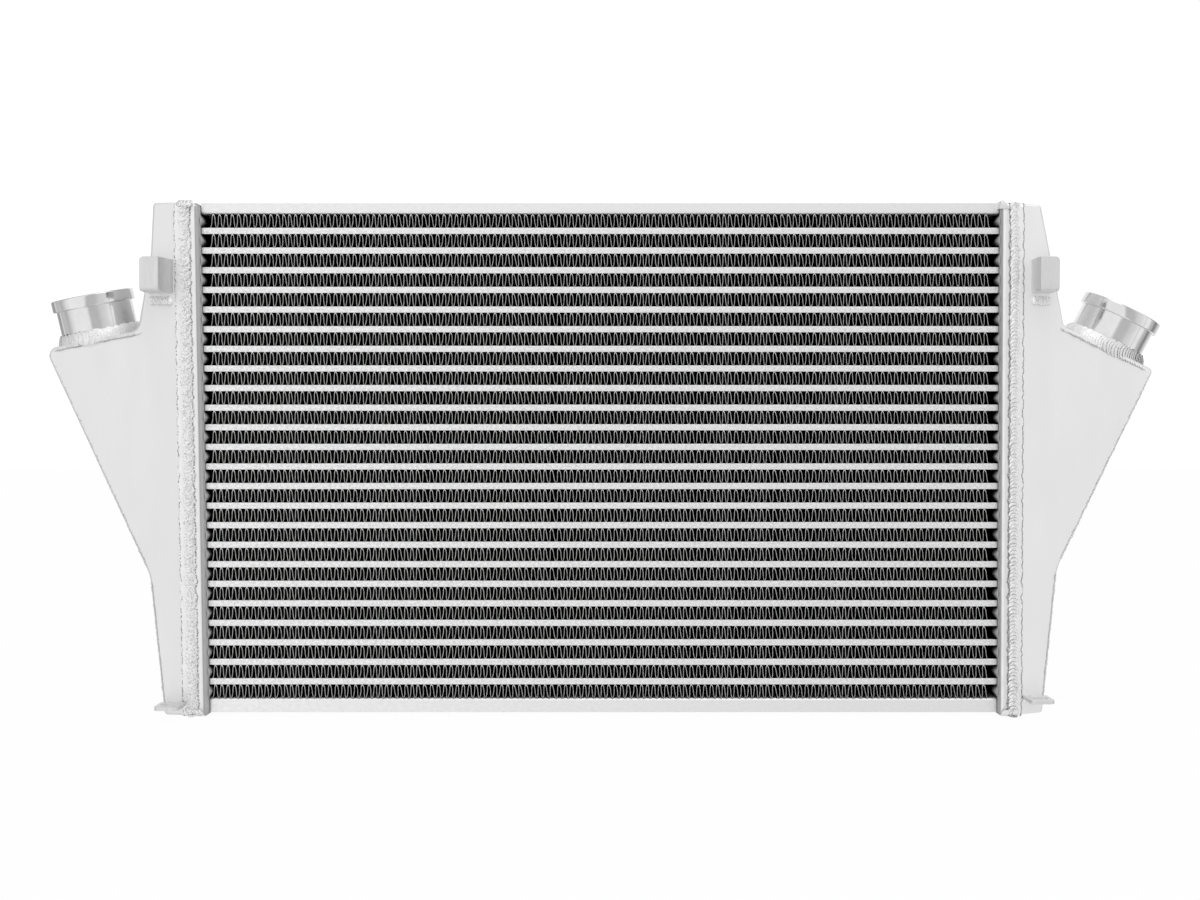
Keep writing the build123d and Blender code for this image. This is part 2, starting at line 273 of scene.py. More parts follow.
def cloud_group():
    """Cloudy mixing of two colours, at a size in metres."""
    group, given, out = new_group(
        "cloudy_sheet", {"Color": "Color", "Mask": "Float"}, Place=(0, 0, 0), Size=0.01,
        Stretch=(1, 1, 1), Dull=grey(0.6), Bright=grey(0.8))
    stretch = add(group, "VectorMath", given["Place"], given["Stretch"], operation="MULTIPLY")
    inverse = add(group, "Math", 1, given["Size"], operation="DIVIDE")
    sized = add(group, "VectorMath", stretch, operation="SCALE", Scale=inverse)
    noise = add(group, "TexNoise", Vector=sized, Scale=1, Detail=4, Roughness=0.6)
    ramp = add(group, "MapRange", noise, From_Min=0.32, From_Max=0.68)
    put(group, mixed(group, ramp, given["Dull"], given["Bright"]), out["Color"])
    put(group, ramp, out["Mask"])
    return group


def pit_group():
    """Scattered dark pits: puts out 1 in a pit and 0 between them."""
    group, given, out = new_group("pits", {"Mask": "Float"}, Place=(0, 0, 0), Size=0.001,
                                  Amount=0.3)
    inverse = add(group, "Math", 1, given["Size"], operation="DIVIDE")
    sized = add(group, "VectorMath", given["Place"], operation="SCALE", Scale=inverse)
    noise = add(group, "TexNoise", Vector=sized, Scale=1, Detail=2, Roughness=0.5)
    start = add(group, "Math", 0.8, given["Amount"], operation="SUBTRACT")
    put(group, add(group, "MapRange", noise, From_Min=start, From_Max=0.85), out["Mask"])
    return group


def wavy_shade_line_group():
    """A broken line of painted shade up both seams, at a distance from the middle: 1 on the line, 0
    beside it.
    """
    group, given, out = new_group(
        "wavy_shade_line", {"Mask": "Float"}, Place=(0, 0, 0), Line=0.3, Lean=0.0, Width=0.001,
        Wobble=0.001, Breaks=0.5)
    from_line = add(group, "Math", upright(group, given["Place"], given["Lean"]), given["Line"],
                    operation="SUBTRACT")
    height = add(group, "SeparateXYZ", given["Place"]).outputs["Z"]
    wave = add(group, "TexNoise", noise_dimensions="1D", W=height, Scale=150, Detail=2)
    centred = add(group, "Math", wave, 0.5, operation="SUBTRACT")
    wobble = add(group, "Math", centred, given["Wobble"], from_line, operation="MULTIPLY_ADD")
    distance = add(group, "Math", wobble, operation="ABSOLUTE")
    edge = add(group, "MapRange", distance, interpolation_type="SMOOTHSTEP",
               From_Min=given["Width"], From_Max=0)
    dash = add(group, "TexNoise", Vector=given["Place"], Scale=900, Detail=1)
    open_dash = add(group, "MapRange", dash, From_Min=given["Breaks"], From_Max=0.62)
    put(group, add(group, "Math", edge, open_dash, operation="MULTIPLY"), out["Mask"])
    return group


def inside_group():
    """1 deep inside the core and 0 near its front and back, by the distance from its middle."""
    group, given, out = new_group("inside", {"Mask": "Float"}, Place=(0, 0, 0), Lit=0.03,
                                  Dark=0.02)
    split = add(group, "SeparateXYZ", given["Place"])
    from_middle = add(group, "Math", split.outputs["Y"], MIDDLE_Y, operation="SUBTRACT")
    either_side = add(group, "Math", from_middle, operation="ABSOLUTE")
    put(group, add(group, "MapRange", either_side, From_Min=given["Lit"],
                   From_Max=given["Dark"]), out["Mask"])
    return group


CLOUDS = cloud_group()
PITS = pit_group()
INSIDE = inside_group()
WAVY_SHADE_LINE = wavy_shade_line_group()
print("effect groups:", CLOUDS.name, PITS.name, INSIDE.name, WAVY_SHADE_LINE.name)

# %% [markdown]
# ## The metals
# All of them are the same Principled metal with other greys, roughness and bump. Satin sheet
# is rough and pale, a turned neck is smooth and takes clear reflections, a weld has a frosty
# skin with black specks, and painted shade along the lower edge of each ripple.

# %% A recipe for sheet metals
PIT_SIZE, PIT_GREY = 0.9 * MM, 0.3
# Share of the colour left in the painted shade along a seam's crevice.
LINE_SHADE_GREY = 0.16


def new_metal(name, roughness):
    """A plain metal; returns the material, its tree, place output and shader."""
    material = bpy.data.materials.new(name)
    material.use_nodes = True
    tree = material.node_tree
    shader = tree.nodes["Principled BSDF"]
    shader.inputs["Metallic"].default_value = 1
    shader.inputs["Roughness"].default_value = roughness
    return material, tree, add(tree, "TexCoord").outputs["Object"], shader


def use_group(tree, group, place, **settings):
    return add(tree, "Group", node_tree=group, Place=place, **settings)


def add_bump(tree, shader, height, distance, strength):
    bump = add(tree, "Bump", Height=height, Strength=strength, Distance=distance)
    put(tree, bump, shader.inputs["Normal"])


def darken(tree, colour, mask, left):
    """Where the mask is 1, leaves only this share of the colour."""
    return mixed(tree, mask, colour, grey(left), "MULTIPLY")


def sheet_metal(name, dull, bright, size, stretch=(1, 1, 1), roughness=0.4, relief=0.04,
                pits=0.0, rim=None, lines=(), lean=0.0):
    """Pale sheet with clouds of two greys; pits, and painted shade on the lower half of weld coins
    and along seam lines, where asked.
    """
    material, tree, place, shader = new_metal(name, roughness)
    clouds = use_group(tree, CLOUDS, place, Size=size, Stretch=stretch,
                       Dull=grey(dull), Bright=grey(bright))
    colour = clouds.outputs["Color"]
    if pits:
        colour = darken(tree, colour, use_group(tree, PITS, place, Size=PIT_SIZE, Amount=pits),
                        PIT_GREY)
    # Painted shade on the lower half of weld coins, where each meets the metal and the coin
    # beneath.
    if rim is not None:
        skin = add(tree, "Attribute", attribute_name="rim")
        colour = darken(tree, colour, skin.outputs["Fac"], rim)
    # Each seam line is painted shade, for the crevice beside a weld bead.
    for line, width, wobble, breaks in lines:
        seam = use_group(tree, WAVY_SHADE_LINE, place, Line=line, Lean=lean, Width=width,
                         Wobble=wobble, Breaks=breaks)
        colour = darken(tree, colour, seam, LINE_SHADE_GREY)
    put(tree, colour, shader.inputs["Base Color"])
    rough = add(tree, "MapRange", clouds.outputs["Mask"], To_Min=roughness + 0.05,
                To_Max=roughness - 0.05)
    put(tree, rough, shader.inputs["Roughness"])
    add_bump(tree, shader, clouds.outputs["Mask"], relief * MM, 0.6)
    return material


TANK_TONES = {"left": (0.845, 0.855), "right": (0.935, 0.945)}
TANK_METALS = {side: sheet_metal(f"satin_tank_{side}", *tones, 25 * MM, (1, 1, 0.25), 0.55, 0.01)
               for side, tones in TANK_TONES.items()}
PLATE_METAL = sheet_metal("folded_plate", 0.86, 0.94, 2.2 * MM, (0.6, 1, 1), 0.5, 0.04)
BRACKET_METAL = sheet_metal("bracket_plate", 0.74, 0.79, 3 * MM, (1, 1, 0.2), 0.58, 0.03)
FILLET_METAL = sheet_metal("weld_fillet", 0.80, 0.92, 1.8 * MM, (1, 1, 1), 0.42, 0.12, pits=0.22)
SMOOTH_WELD_METAL = sheet_metal("smooth_weld", 0.84, 0.93, 3 * MM, (1, 1, 1), 0.55, 0.08,
                                pits=0.22, rim=0.82)
COIN_METAL = sheet_metal("weld_skin", 0.88, 1.0, 1.4 * MM, (1, 1, 1), 0.42, 0.08,
                         pits=0.27, rim=0.5)
FROSTY_WELD_METAL = sheet_metal("frosty_weld", 0.86, 1.0, 1.2 * MM, (1, 1, 1), 0.5, 0.16,
                                pits=0.345, rim=0.9)
SEAM_METALS = {"left": FROSTY_WELD_METAL, "right": COIN_METAL}
print("sheet metals:", [m.name for m in (PLATE_METAL, BRACKET_METAL, COIN_METAL)])

# %% [markdown]
# ## Seam metals
# Along a seam the pan and the tank's lip each get a thin broken line of painted shade, for the
# crevice beside the bead. The left header of this cooler stands with a slight lean, as parts
# do that are welded in a simple jig, and the line has to lean with it.

# %% Metals beside the seams
LEAN = {"left": 5.2 * MM, "right": 0.0}
# Two greys, how far from the middle the line of painted shade runs, and how broken it is.
PAN_LOOK = {"left": (0.88, 0.95, 308.7 * MM, 0.34), "right": (0.83, 0.90, 308.4 * MM, 0.15)}
LIP_LOOK = {"left": (0.85, 0.89, 320.3 * MM, 0.42), "right": (0.93, 0.97, 318.6 * MM, 0.0)}


def seam_metal(name, side, look, size, stretch, roughness, relief, width):
    dull, bright, line, breaks = look[side]
    return sheet_metal(f"{name}_{side}", dull, bright, size, stretch, roughness, relief,
                       lines=((line, width, 3.0 * MM, breaks),), lean=LEAN[side])


PAN_METALS = {side: seam_metal("pressed_pan", side, PAN_LOOK, 3 * MM, (1, 1, 0.3), 0.48, 0.04,
                               1.3 * MM) for side in SIDES}
LIP_METALS = {side: seam_metal("tank_lip", side, LIP_LOOK, 6 * MM, (1, 1, 0.5), 0.5, 0.02,
                               0.7 * MM) for side in SIDES}
print("seam metals:", len(PAN_METALS) + len(LIP_METALS))

# %% [markdown]
# ## The dark inside of the core
# Between the fins it is nearly black, because light that goes in bounces from leg to leg and
# doesn't come back. Path tracing would need many bounces for that, so the metal itself turns
# dark with depth: it is pale at the front and back edges, and dark inside. Metal shines at a
# glancing angle however dark it is, so inside it is no metal either.
#
# The tubes and the fins turn dark at once. The domes of a header face the fins and see little
# light, so they get a matt colour there, which fades to black more slowly.

# %% Make metals dark inside
CORE_HALF = (CORE_BACK - CORE_FRONT) / 2
BLACK = 0.004
# Share of the colour left on the pan's bend, as painted shade.
BEND_SHADE_GREY = 0.52
BEND_EDGE = {"left": 3.6 * MM, "right": 2.0 * MM}


def less(tree, value, mask):
    """A constant from which a mask is taken."""
    return add(tree, "Math", value, mask, operation="SUBTRACT", use_clamp=True)


def parts_of(material):
    """The tree, place, shader and colour of a metal that was made above."""
    tree = material.node_tree
    shader = tree.nodes["Principled BSDF"]
    colour = shader.inputs["Base Color"].links[0].from_socket
    return tree, tree.nodes["Texture Coordinate"].outputs["Object"], shader, colour


def no_metal(tree, shader, colour, mask):
    """Gives a shader its colour, and makes it no metal where the mask is 1."""
    put(tree, colour, shader.inputs["Base Color"])
    put(tree, less(tree, 1, mask), shader.inputs["Metallic"])
    shader.inputs["Specular IOR Level"].default_value = 0


def dark_inside(material, lit, dark):
    tree, place, shader, colour = parts_of(material)
    inside = use_group(tree, INSIDE, place, Lit=lit, Dark=dark)
    no_metal(tree, shader, darken(tree, colour, inside, BLACK), inside)
    return material


def dark_domes(material, lean, bend_edge):
    """On the core side of a header: painted shade on the bend, domes that fade into painted shade,
    and a black face behind.
    """
    tree, place, shader, colour = parts_of(material)
    from_middle = upright(tree, place, lean)

    def zone(start, end):
        return add(tree, "MapRange", from_middle, From_Min=PAN_FACE + start,
                   From_Max=PAN_FACE + end)

    bend = zone(bend_edge + 0.3 * MM, bend_edge - 0.3 * MM)
    core_side = zone(1.4 * MM, 0.2 * MM)
    face = zone(-1.5 * MM, -0.3 * MM)
    slow = use_group(tree, INSIDE, place, Lit=CORE_HALF - 1 * MM, Dark=CORE_HALF - 11 * MM)
    fast = use_group(tree, INSIDE, place, Lit=CORE_HALF + 3 * MM, Dark=CORE_HALF)
    depth = add(tree, "Mix", face)
    put(tree, slow, depth.inputs[2])
    put(tree, fast, depth.inputs[3])
    both = add(tree, "Math", depth, core_side, operation="MULTIPLY")
    # Painted shade on the pan's bend, where it turns in towards the core.
    shaded_bend = darken(tree, colour, bend, BEND_SHADE_GREY)
    no_metal(tree, shader, darken(tree, shaded_bend, both, BLACK), core_side)


TUBE_METAL = dark_inside(sheet_metal("rolled_tube", 0.74, 1.0, 1.5 * MM, (0.7, 1, 1), 0.5, 0.05),
                         CORE_HALF - 0.2 * MM, CORE_HALF - 1.0 * MM)
for side in SIDES:
    dark_domes(PAN_METALS[side], LEAN[side], BEND_EDGE[side])
print("dark inside:", TUBE_METAL.name, "and both headers")

# %% [markdown]
# ## Fin metal
# The legs of a fin are dull, and its crests get a painted highlight, for the light that the
# top of each fold catches. The height within the row comes from a modulo by the row pitch.

# %% Fin metal
def fin_metal():
    material, tree, place, shader = new_metal("folded_fin", 0.45)
    clouds = use_group(tree, CLOUDS, place, Size=3 * MM, Dull=grey(0.30), Bright=grey(0.62))
    split = add(tree, "SeparateXYZ", place)
    from_foot = add(tree, "Math", split.outputs["Z"], FIRST_ROW, operation="SUBTRACT")
    in_row = add(tree, "Math", from_foot, PITCH, operation="MODULO")
    # Painted highlight: the top of each row, at the fin crests, is lightened to near white.
    crest_highlight = add(tree, "MapRange", in_row, From_Min=0.80 * ROW_HEIGHT, From_Max=0.93 * ROW_HEIGHT)
    put(tree, mixed(tree, crest_highlight, clouds, grey(0.95)), shader.inputs["Base Color"])
    return material


FIN_METAL = dark_inside(fin_metal(), CORE_HALF - 0.1 * MM, CORE_HALF - 0.8 * MM)
print("fin metal ready")

# %% [markdown]
# ## Turned metal
# A lathe leaves fine rings round the neck. The distance along the neck's own axis is found by
# a dot product, and a noise that only knows that distance gives rings that can't wander.

# %% Turned metal, one for each neck axis
def turned_metal(name, axis):
    material, tree, place, shader = new_metal(name, 0.08)
    along = add(tree, "VectorMath", place, axis, operation="DOT_PRODUCT").outputs["Value"]
    rings = add(tree, "TexNoise", noise_dimensions="1D", W=along, Scale=2600, Detail=2)
    clouds = use_group(tree, CLOUDS, place, Size=14 * MM, Dull=grey(0.68), Bright=grey(0.76))
    put(tree, clouds, shader.inputs["Base Color"])
    put(tree, add(tree, "MapRange", rings, To_Min=0.08, To_Max=0.17), shader.inputs["Roughness"])
    add_bump(tree, shader, rings, 0.01 * MM, 0.35)
    return material


NECK_METALS = {side: turned_metal(f"turned_neck_{side}", MOUNTS[f"hose_neck_{side}"]["axis"])
               for side in SIDES}
print("turned metals:", len(NECK_METALS))

# %% [markdown]
# ## Parts that stay as they are
# The two side plates and the fillet rings round the necks already have their true shape, so
# they only get metal.

# %% Give the exact parts their metal
def dress(node, metal):
    piece = frame["nodes"][node]
    piece.data.materials.clear()
    piece.data.materials.append(metal)


for name in frame["nodes"]:
    metal = TUBE_METAL if name.startswith("tube_") else PLATE_METAL
    dress(name, FILLET_METAL if "weld" in name else metal)
print("dressed:", len(frame["nodes"]))

# %% [markdown]
# ## Soft edges on folded and welded sheet
# Sheet that is folded or cut never has a knife edge, and it is the small rounds that catch the
# light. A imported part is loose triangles, so a copy is merged, its flat triangles are dissolved
# into whole faces, and a Bevel modifier rounds what is still sharp. A Weighted Normal modifier
# then keeps the shading of the large faces flat right up to their rounds.

# %% Rounded copies of the sheet parts
def softened(node, slot, metal, radius, segments=3):
    """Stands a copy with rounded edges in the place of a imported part."""
    source = frame["nodes"][node]
    piece = bpy.data.objects.new(f"soft_{node}", source.data.copy())
    bpy.context.collection.objects.link(piece)
    edit(piece)
    bpy.ops.mesh.select_all(action="SELECT")
    bpy.ops.mesh.remove_doubles(threshold=0.002 * MM)
    bpy.ops.mesh.dissolve_limited(angle_limit=radians(1))
    bpy.ops.object.mode_set(mode="OBJECT")
    if piece.data.has_custom_normals:
        bpy.ops.mesh.customdata_custom_splitnormals_clear()
    apply_modifier(piece, "BEVEL", width=radius, segments=segments, limit_method="ANGLE",
                   angle_limit=radians(30), use_clamp_overlap=True, harden_normals=False)
    finish_piece(piece, f"{node}_sheet", slot, metal, node, smooth=40)
    apply_modifier(piece, "WEIGHTED_NORMAL", keep_sharp=True)


for side in SIDES:
    softened(f"tank_{side}", "tank", TANK_METALS[side], 0.8 * MM)
    softened(f"upper_bracket_{side}", "bracket", BRACKET_METAL, 0.35 * MM)
    softened(f"lower_tab_{side}", "bracket", BRACKET_METAL, 0.35 * MM)

# %% [markdown]
# ## Flat tubes
# A tube is rolled from strip into a flat box with small rounds along its edges. It is modelled
# once and copied to every row. One material serves all of them, because its clouds follow the
# place in the cooler and no two tubes look alike.

# %% Roll one tube and copy it
TUBE_ROUND = 0.45 * MM

bpy.ops.mesh.primitive_cube_add(size=1, scale=tube_high - tube_low,
                                location=(tube_high + tube_low) / 2)
rolled = settled()
apply_modifier(rolled, "BEVEL", width=TUBE_ROUND, segments=2, limit_method="ANGLE")
for name in [name for name in frame["nodes"] if name.startswith("tube_")]:
    tube = copy_at(rolled, Matrix.Translation((0, 0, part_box(name)[0].z - tube_low.z)))
    finish_piece(tube, f"rolled_{name}", "tube", TUBE_METAL, name, smooth=50)
    apply_modifier(tube, "WEIGHTED_NORMAL", keep_sharp=True)
bpy.data.objects.remove(rolled)

# %% [markdown]
# ## The folded fins
# A fin is one long strip of foil, folded up and down and brazed to the tubes above and below.
# One fold is shaped from a small grid: its columns are pulled into a leg up and a leg down.
# An Array modifier repeats it along the core. The strip also waves from front to back, which
# is what stops you from looking straight through it.

# %% Shape one fold and repeat it
FOLD_COUNT = 122
FIN_END_GAP = 7.0 * MM
FIN_RUN = 2 * (PAN_FACE - FIN_END_GAP)
FOLD = FIN_RUN / FOLD_COUNT
FOIL = 0.40 * MM
DEPTH_STEPS = 3
DEPTH_WAVE = 2.5 * MM
# Share of the fold's length, and share of the row's height above its middle.
FOLD_COLUMNS = ((0.0, -0.5), (0.10, -0.49), (0.20, -0.30), (0.25, 0.0), (0.25, 0.28),
                (0.38, 0.5), (0.48, 0.5), (0.64, 0.36), (0.73, 0.12), (0.77, -0.2),
                (0.88, -0.47), (1.0, -0.5))


def one_fold():
    steps = len(FOLD_COLUMNS) - 1
    bpy.ops.mesh.primitive_grid_add(x_subdivisions=steps, y_subdivisions=DEPTH_STEPS, size=1)
    fold = bpy.context.object
    edit(fold)
    height = ROW_HEIGHT - FOIL
    for column, (along, up) in enumerate(FOLD_COLUMNS):
        here = column / steps - 0.5
        pick(fold, lambda p: abs(p.x - here) < 0.4 / steps and abs(p.z) < 1e-6)
        bpy.ops.transform.translate(value=(along - 0.5 - here, 0, up + 2))
    bpy.ops.mesh.select_all(action="SELECT")
    bpy.ops.transform.translate(value=(0, 0, -2))
    bpy.ops.transform.resize(value=(FOLD, CORE_BACK - CORE_FRONT, height),
                             center_override=(0, 0, 0))
    depth_step = (CORE_BACK - CORE_FRONT) / DEPTH_STEPS
    for row in range(1, DEPTH_STEPS):
        here = (row - DEPTH_STEPS / 2) * depth_step
        pick(fold, lambda p: abs(p.y - here) < depth_step / 4)
        bpy.ops.transform.translate(value=(DEPTH_WAVE * (1 if row % 2 else -1), 0, 0))
    return fold


def fin_strip():
    """One row of folds with uneven legs."""
    strip = one_fold()
    apply_modifier(strip, "ARRAY", count=FOLD_COUNT, use_relative_offset=False,
                   use_constant_offset=True, constant_offset_displace=(FOLD, 0, 0),
                   use_merge_vertices=True, merge_threshold=0.02 * MM)
    edit(strip)
    bpy.ops.mesh.select_all(action="SELECT")
    bpy.ops.transform.translate(value=(-(FIN_RUN - FOLD) / 2, MIDDLE_Y, ROW_HEIGHT / 2))
    sway = bpy.data.textures.new("uneven_folds", "CLOUDS")
    sway.noise_scale = 13 * MM
    sway.noise_depth = 0
    apply_modifier(strip, "DISPLACE", texture=sway, texture_coords="LOCAL", direction="X",
                   strength=1.8 * MM, mid_level=0.5)
    apply_modifier(strip, "SOLIDIFY", thickness=FOIL, offset=0)
    return strip


strip = fin_strip()
print("one strip:", len(strip.data.polygons), "faces")

# %% [markdown]
# ## Five packs of fins
# Every row is the same strip, lifted by the row pitch. Five rows make one piece, as in the
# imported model, so that each piece stands for one of its parts.

# %% Stack the strips into packs
PACKS = sorted(name for name in frame["nodes"] if name.startswith("air_fins_"))
ROWS_PER_PACK = (TUBE_COUNT + 1) // len(PACKS)
for pack, node in enumerate(PACKS):
    lifts = [FIRST_ROW + (pack * ROWS_PER_PACK + row) * PITCH for row in range(ROWS_PER_PACK)]
    rows = [copy_at(strip, Matrix.Translation((0, 0, lift))) for lift in lifts]
    finish_piece(join(rows), f"fins_{pack + 1}", "fin", FIN_METAL, node, smooth=50)
bpy.data.objects.remove(strip)

# %% [markdown]
# ## Header pans
# A header is pressed from one sheet: a shallow pan whose floor bulges out in a dome between
# every two tubes, which makes it stiff. The pan is a cube with its tank side taken away and
# its edges rounded. A dome is half a ball whose rings are drawn in to a ridge, pulled apart in
# the middle until it reaches past the core to the pan's bends. The left pan and its seam are
# then leaned over by a few millimetres.

# %% Press a header pan
PAN_WALL = 2.5 * MM
PAN_BEND = 4.2 * MM
DOME_RISE = 1.8 * MM


def lean_over(piece, side):
    """Moves the foot of a piece towards the core and leaves its top where it is."""
    slide = -SIDES[side] * LEAN[side]
    piece.data.transform(Matrix(((1, 0, -slide / PAN_TOP, slide), (0, 1, 0, 0), (0, 0, 1, 0),
                                 (0, 0, 0, 1))))
    return piece


def pan_body(sign):
    width = SEAM - PAN_FACE
    bpy.ops.mesh.primitive_cube_add(
        size=1, location=(sign * (PAN_FACE + width / 2), MIDDLE_Y, PAN_TOP / 2),
        scale=(width, BACK - FRONT, PAN_TOP))
    body = settled()
    edit(body)
    pick_faces(body, lambda middle, normal: normal.x * sign > 0.9)
    bpy.ops.mesh.delete(type="FACE")
    bpy.ops.object.mode_set(mode="OBJECT")
    apply_modifier(body, "BEVEL", width=PAN_BEND, segments=5, limit_method="ANGLE")
    apply_modifier(body, "SOLIDIFY", thickness=PAN_WALL, offset=-1)
    return body


def pan_dome(sign):
    """Half a ball on the pan's face, stretched to the depth of the core."""
    bpy.ops.mesh.primitive_uv_sphere_add(segments=16, ring_count=8, radius=1)
    dome = bpy.context.object
    edit(dome)
    bpy.ops.mesh.select_all(action="SELECT")
    bpy.ops.mesh.bisect(plane_co=(0, 0, 0), plane_no=(sign, 0, 0), clear_outer=True)
    for ring in range(1, 4):
        up = abs(cos(pi * ring / 8))
        pick(dome, lambda p: abs(abs(p.z) - up) < 0.01)
        bpy.ops.transform.resize(value=((1 - up) / (1 - up * up) ** 0.5, 1, 1),
                                 center_override=(0, 0, 0))
    bpy.ops.mesh.select_all(action="SELECT")
    half_height = ROW_HEIGHT / 2 - 0.1 * MM
    bpy.ops.transform.resize(value=(DOME_RISE, half_height, half_height),
                             center_override=(0, 0, 0))
    for end in (-1, 1):
        pick(dome, lambda p: p.y * end > 0.01 * MM)
        bpy.ops.transform.translate(
            value=(0, end * ((BACK - FRONT) / 2 - PAN_BEND / 2 - half_height), 0))
    bpy.ops.object.mode_set(mode="OBJECT")
    return dome


for side, sign in SIDES.items():
    dome = pan_dome(sign)
    domes = [copy_at(dome, Matrix.Translation(
        (sign * PAN_FACE, MIDDLE_Y, FIRST_ROW + ROW_HEIGHT / 2 + row * PITCH)))
        for row in range(TUBE_COUNT + 1)]
    bpy.data.objects.remove(dome)
    pan = lean_over(join([pan_body(sign)] + domes), side)
    finish_piece(pan, f"pan_{side}", "header", PAN_METALS[side], f"header_{side}", smooth=50)

# %% [markdown]
# ## Hose necks
# A neck is turned from tube: a straight wall with a raised collar that keeps the hose from
# slipping off. Its wall is drawn once as a flat outline, its corners are rounded, and the
# outline is spun round the axis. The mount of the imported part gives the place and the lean.

# %% Spin a neck
NECK_RADIUS = 28.5 * MM
NECK_WALL = 2.5 * MM
NECK_HEIGHT = 37.0 * MM
COLLAR_RADIUS = 30.9 * MM
COLLAR_LENGTH = 9.0 * MM
COLLAR_MIDDLE = 32.1 * MM
NECK_FOOT = -3.0 * MM
SPIN_STEPS = 128


def neck_matrix(side):
    """Places a piece drawn along Z, with its foot at the origin, on the neck's seat."""
    mount = MOUNTS[f"hose_neck_{side}"]
    axis = Vector(mount["axis"]).normalized()
    seat = Vector(mount["pos_m"]) - axis * COLLAR_MIDDLE
    turn = axis.to_track_quat("Z", "Y").to_matrix().to_4x4()
    return Matrix.Translation(seat) @ turn


def neck_blank():
    bpy.ops.mesh.primitive_plane_add(size=1, rotation=(pi / 2, 0, 0))
    neck = settled()
    edit(neck)
    bpy.ops.mesh.select_all(action="SELECT")
    bpy.ops.transform.resize(value=(NECK_WALL, 1, NECK_HEIGHT - NECK_FOOT))
    bpy.ops.transform.translate(
        value=(NECK_RADIUS - NECK_WALL / 2, 0, (NECK_HEIGHT + NECK_FOOT) / 2))
    shoulder = NECK_HEIGHT - COLLAR_LENGTH
    bpy.ops.mesh.bisect(plane_co=(0, 0, shoulder), plane_no=(0, 0, 1))
    pick(neck, lambda p: p.z > shoulder - 0.1 * MM and p.x > NECK_RADIUS - 0.1 * MM)
    bpy.ops.mesh.extrude_region_move(
        TRANSFORM_OT_translate={"value": (COLLAR_RADIUS - NECK_RADIUS, 0, 0)})
    bpy.ops.mesh.select_all(action="SELECT")
    bpy.ops.mesh.dissolve_limited(angle_limit=radians(1))
    pick(neck, lambda p: p.z > shoulder - 0.1 * MM and p.x > COLLAR_RADIUS - 0.1 * MM)
    bpy.ops.mesh.bevel(offset=1.1 * MM, segments=4, affect="VERTICES")
    pick(neck, lambda p: p.z > NECK_HEIGHT - 0.1 * MM and p.x < NECK_RADIUS - NECK_WALL / 2)
    bpy.ops.mesh.bevel(offset=0.6 * MM, segments=2, affect="VERTICES")
    bpy.ops.mesh.select_all(action="SELECT")
    bpy.ops.mesh.delete(type="ONLY_FACE")
    bpy.ops.mesh.select_all(action="SELECT")
    bpy.ops.mesh.spin(steps=SPIN_STEPS, angle=2 * pi, center=(0, 0, 0), axis=(0, 0, 1))
    bpy.ops.mesh.select_all(action="SELECT")
    bpy.ops.mesh.remove_doubles(threshold=0.002 * MM)
    bpy.ops.mesh.normals_make_consistent(inside=False)
    bpy.ops.object.mode_set(mode="OBJECT")
    return neck


blank = neck_blank()
for side in SIDES:
    finish_piece(copy_at(blank, neck_matrix(side)), f"turned_neck_{side}", "neck",
                 NECK_METALS[side], f"neck_{side}", smooth=35)
bpy.data.objects.remove(blank)

# %% [markdown]
# ## Weld beads
# A hand weld is a row of small pools that froze one after the other, each lapping over the
# last like fallen coins. One coin is a flattened ball, a little wider at its crown, and its lower
# half is marked for painted shade, where it meets the metal and the coin beneath. It is copied
# along the joint, tipped so that one edge stands up, and each copy differs a little in size and
# turn, because no hand is perfectly even.

# %% One weld coin, and a run of them
def weld_coin():
    """A flattened ball whose lower half is marked for painted shade."""
    bpy.ops.mesh.primitive_uv_sphere_add(segments=14, ring_count=6, radius=1)
    coin = bpy.context.object
    edit(coin)
    bpy.ops.mesh.select_all(action="SELECT")
    bpy.ops.transform.resize(value=(1, 0.9, 0.34))
    pick(coin, lambda p: p.z > 0.12)
    bpy.ops.transform.resize(value=(1.06, 1.06, 1))
    bpy.ops.object.mode_set(mode="OBJECT")
    # Marks the lower half with 1, for painted shade where the coin meets the metal and the coin
    # beneath.
    bpy.ops.geometry.color_attribute_add(name="rim", domain="POINT", color=(1, 1, 1, 1))
    for point, mark in zip(coin.data.vertices, coin.data.color_attributes["rim"].data):
        mark.color = grey(0 if point.co.z > 0.05 else 1)
    return coin


COIN = weld_coin()
CHANCE = random.Random(7)


def coin_at(place, forward, outward, half_width, half_length, height, tip=20, uneven=0.16,
            loose=1.0):
    """Lays one coin: forward is the way the torch went, outward is away from the metal."""
    outward = Vector(outward).normalized()
    forward = Vector(forward).normalized()
    across = forward.cross(outward).normalized()
    forward = outward.cross(across)
    turn = Matrix((across, forward, outward)).transposed().to_4x4()
    vary = [1 + CHANCE.uniform(-uneven, uneven) for _ in range(3)]
    size = Matrix.Diagonal((half_width * vary[0], half_length * vary[1], height * 3 * vary[2], 1))
    lean = Matrix.Rotation(radians(-tip + loose * CHANCE.uniform(-4, 4)), 4, "X")
    twist = Matrix.Rotation(radians(loose * CHANCE.uniform(-18, 18)), 4, "Z")
    return copy_at(COIN, Matrix.Translation(place) @ turn @ twist @ lean @ size)


def straight_bead(start, end, outward, half_width, pitch, height, wander=0.4 * MM, **settings):
    """A run of coins from start to end, which wanders a little to both sides."""
    start, end = Vector(start), Vector(end)
    run = end - start
    count = max(2, round(run.length / pitch))
    across = run.cross(Vector(outward)).normalized()
    coins = []
    for index in range(count + 1):
        place = start + run * index / count + across * CHANCE.uniform(-wander, wander)
        coins.append(coin_at(place, run, outward, half_width, pitch * 1.3, height, **settings))
    return coins


print("coin faces:", len(COIN.data.polygons))

